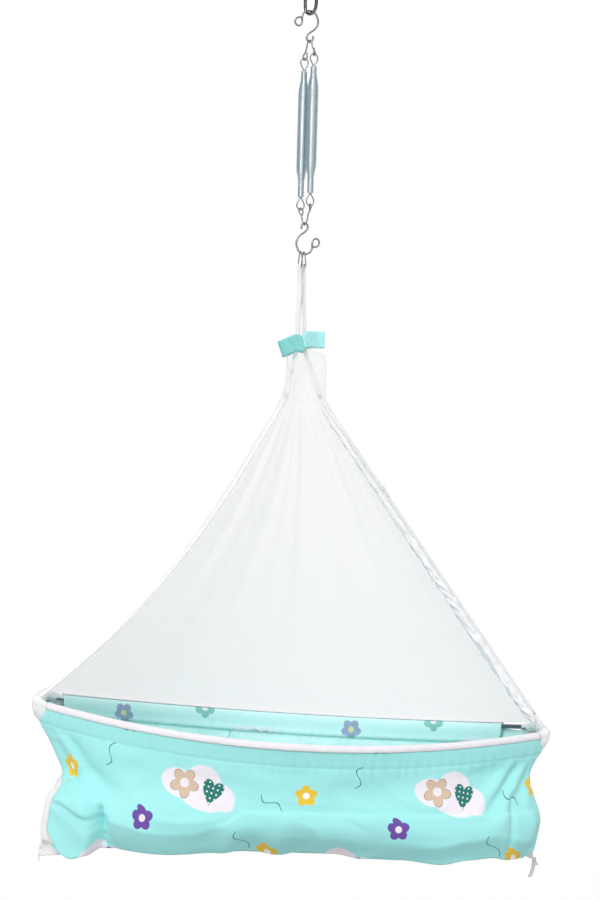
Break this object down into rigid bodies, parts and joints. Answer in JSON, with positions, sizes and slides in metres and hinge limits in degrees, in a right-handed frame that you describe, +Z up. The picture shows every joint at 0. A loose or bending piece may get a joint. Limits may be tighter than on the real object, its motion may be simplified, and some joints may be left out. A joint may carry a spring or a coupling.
{
  "type": "hanging baby cradle",
  "caption": "Cloth baby cradle with a gathered net canopy, hung on webbing, wire hooks and a pair of extension springs so that it bounces and swings.",
  "frame": {"origin": "the bearing point at the top of the inside of the top link, where a ceiling hook carries the cradle", "axes": "+Z up along the hanging line; +X along the cradle's length towards the end without the bolster; -Y towards the wide opening of the canopy"},
  "size_m": [0.9198, 0.4664, 1.5836],
  "materials": {
    "dark_steel": "dark nickel plated round wire",
    "wire_steel": "bright nickel plated wire",
    "zinc_spring": "blue-grey zinc plated spring wire",
    "rod_steel": "plain grey steel rod",
    "white_plastic": "white moulded plastic",
    "white_webbing": "white woven cotton webbing",
    "white_net": "fine white mosquito net",
    "white_cotton": "thin white cotton",
    "aqua_cotton": null,
    "aqua_band": "plain aqua cotton, folded and stitched",
    "hook_tape": "pale hook and loop tape"
  },
  "bodies": {
    "ceiling_link": {"top_link": "dark_steel"},
    "upper_hook": {"upper_hook": "wire_steel"},
    "spring_head": {"upper_yoke": "wire_steel", "upper_eye_left": "wire_steel", "upper_eye_right": "wire_steel", "spring_left": "zinc_spring", "spring_right": "zinc_spring"},
    "spring_foot": {"lower_yoke": "wire_steel", "lower_eye_left": "wire_steel", "lower_eye_right": "wire_steel"},
    "lower_hook": {"lower_hook": "wire_steel"},
    "cradle": {"wire_loop_left": "wire_steel", "wire_loop_right": "wire_steel", "hanging_strap_left": "white_webbing", "hanging_strap_right": "white_webbing", "edge_strap_front_left": "white_webbing", "edge_strap_front_right": "white_webbing", "edge_strap_back_left": "white_webbing", "edge_strap_back_right": "white_webbing", "tie_band": "aqua_band", "hook_tape_patch": "hook_tape", "loop_tape_patch": "hook_tape", "canopy_neck": "white_net", "canopy_back_net": "white_net", "canopy_left_net": "white_net", "canopy_right_net": "white_net", "front_net_roll": "white_net", "zip_tape": "white_cotton", "rim_rod_front": "rod_steel", "rim_rod_back": "rod_steel", "end_bar_left": "rod_steel", "end_bar_right": "rod_steel", "corner_elbow_front_left": "white_plastic", "corner_elbow_front_right": "white_plastic", "corner_elbow_back_left": "white_plastic", "corner_elbow_back_right": "white_plastic", "rim_binding_front": "white_cotton", "rim_binding_back": "white_cotton", "front_wall": "aqua_cotton", "back_wall": "aqua_cotton", "end_wall_left": "white_cotton", "end_wall_right": "white_cotton", "base_cloth": "aqua_cotton", "mattress": "aqua_cotton", "bolster": "aqua_cotton", "tie_cord_left": "white_cotton", "tie_tape_long": "white_cotton", "tie_tape_short": "white_cotton"},
    "zip_slider": {"zip_slider": "wire_steel"}
  },
  "joints": [
    {"name": "link_swing", "type": "hinge", "parent": "ceiling_link", "child": "upper_hook", "pos_m": [0, 0, -0.045], "axis": [0.6428, -0.766, 0], "range_deg": [-30, 30]},
    {"name": "yoke_swing", "type": "hinge", "parent": "upper_hook", "child": "spring_head", "pos_m": [0, 0, -0.0957], "axis": [0.866, 0.5, 0], "range_deg": [-25, 25]},
    {"name": "spring_stretch", "type": "slide", "parent": "spring_head", "child": "spring_foot", "axis": [0, 0, -1], "range_m": [0, 0.12], "stiffness_N_per_m": 1500, "springref_m": -0.058, "deforming": ["spring_left", "spring_right"]},
    {"name": "hook_swing", "type": "hinge", "parent": "spring_foot", "child": "lower_hook", "pos_m": [0, 0, -0.42485], "axis": [0.7071, -0.7071, 0], "range_deg": [-25, 25]},
    {"name": "cradle_swing", "type": "hinge", "parent": "lower_hook", "child": "cradle", "pos_m": [0, 0, -0.4773], "axis": [0.866, 0.5, 0], "range_deg": [-25, 25]},
    {"name": "zip_slide", "type": "slide", "parent": "cradle", "child": "zip_slider", "axis": [0.5804, -0.0643, -0.8118], "range_m": [-0.11, 0.45]}
  ]
}
